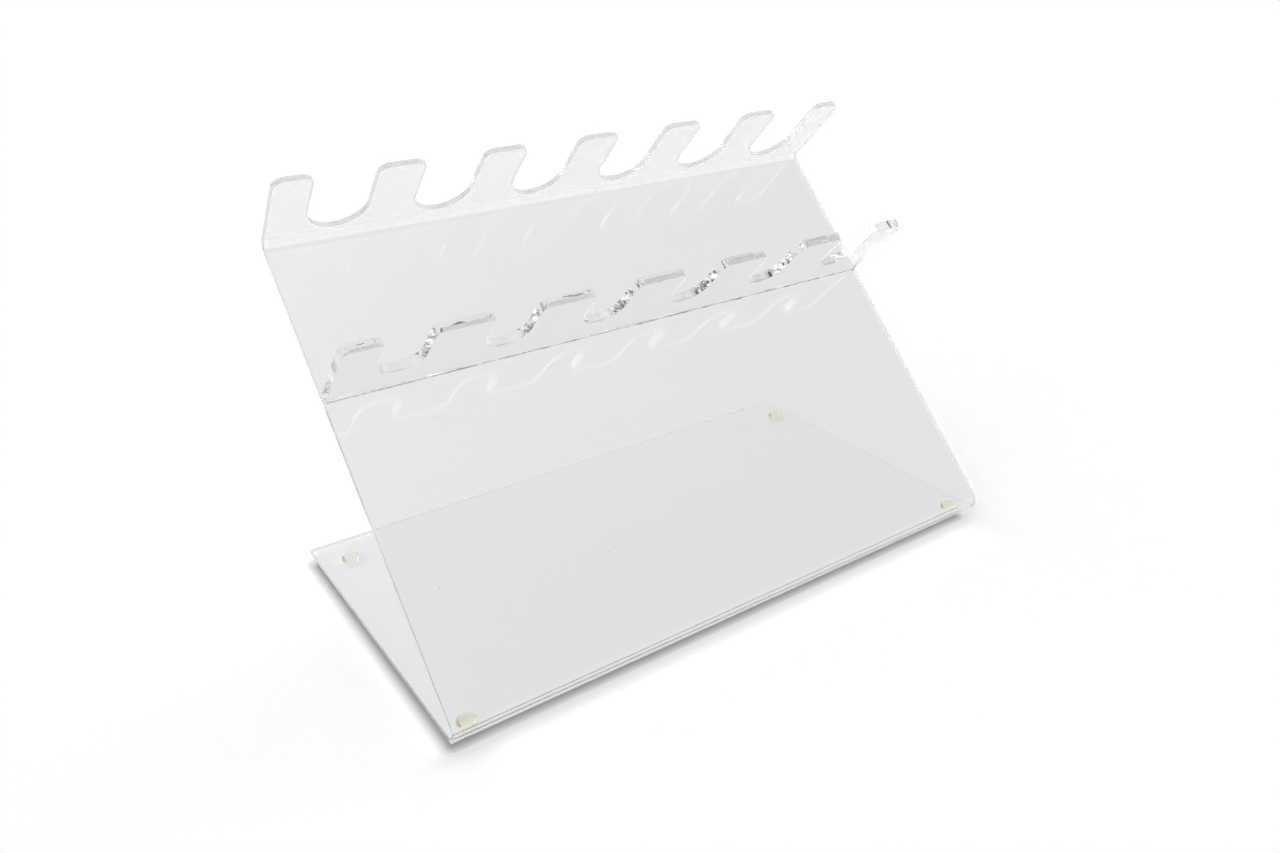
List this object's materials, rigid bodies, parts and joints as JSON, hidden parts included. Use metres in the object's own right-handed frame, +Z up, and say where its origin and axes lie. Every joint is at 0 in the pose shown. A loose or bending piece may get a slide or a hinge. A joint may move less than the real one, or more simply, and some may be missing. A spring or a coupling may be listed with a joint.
{
  "type": "paint rack organizer",
  "caption": "Clear acrylic counter rack: a sheet bent into a base, a leaning panel and a notched top comb, with a thicker notched comb bonded across the panel, on domed feet.",
  "frame": {"origin": "middle of the overall box, on the surface that the feet stand on", "axes": "+X along the rows of notches, to the right seen from the front; +Y from the front fold to the back edge of the base; +Z up"},
  "size_m": [0.4, 0.22, 0.2635],
  "materials": {
    "clear_acrylic": "polished clear",
    "cement": "clear, with small bubbles",
    "clear_bumper": "soft clear, slightly yellow"
  },
  "bodies": {
    "root": {"bent_sheet": "clear_acrylic", "lower_comb": "clear_acrylic", "cement_seam": "cement", "foot_front_left": "clear_bumper", "foot_front_right": "clear_bumper", "foot_back_left": "clear_bumper", "foot_back_right": "clear_bumper"}
  },
  "joints": []
}
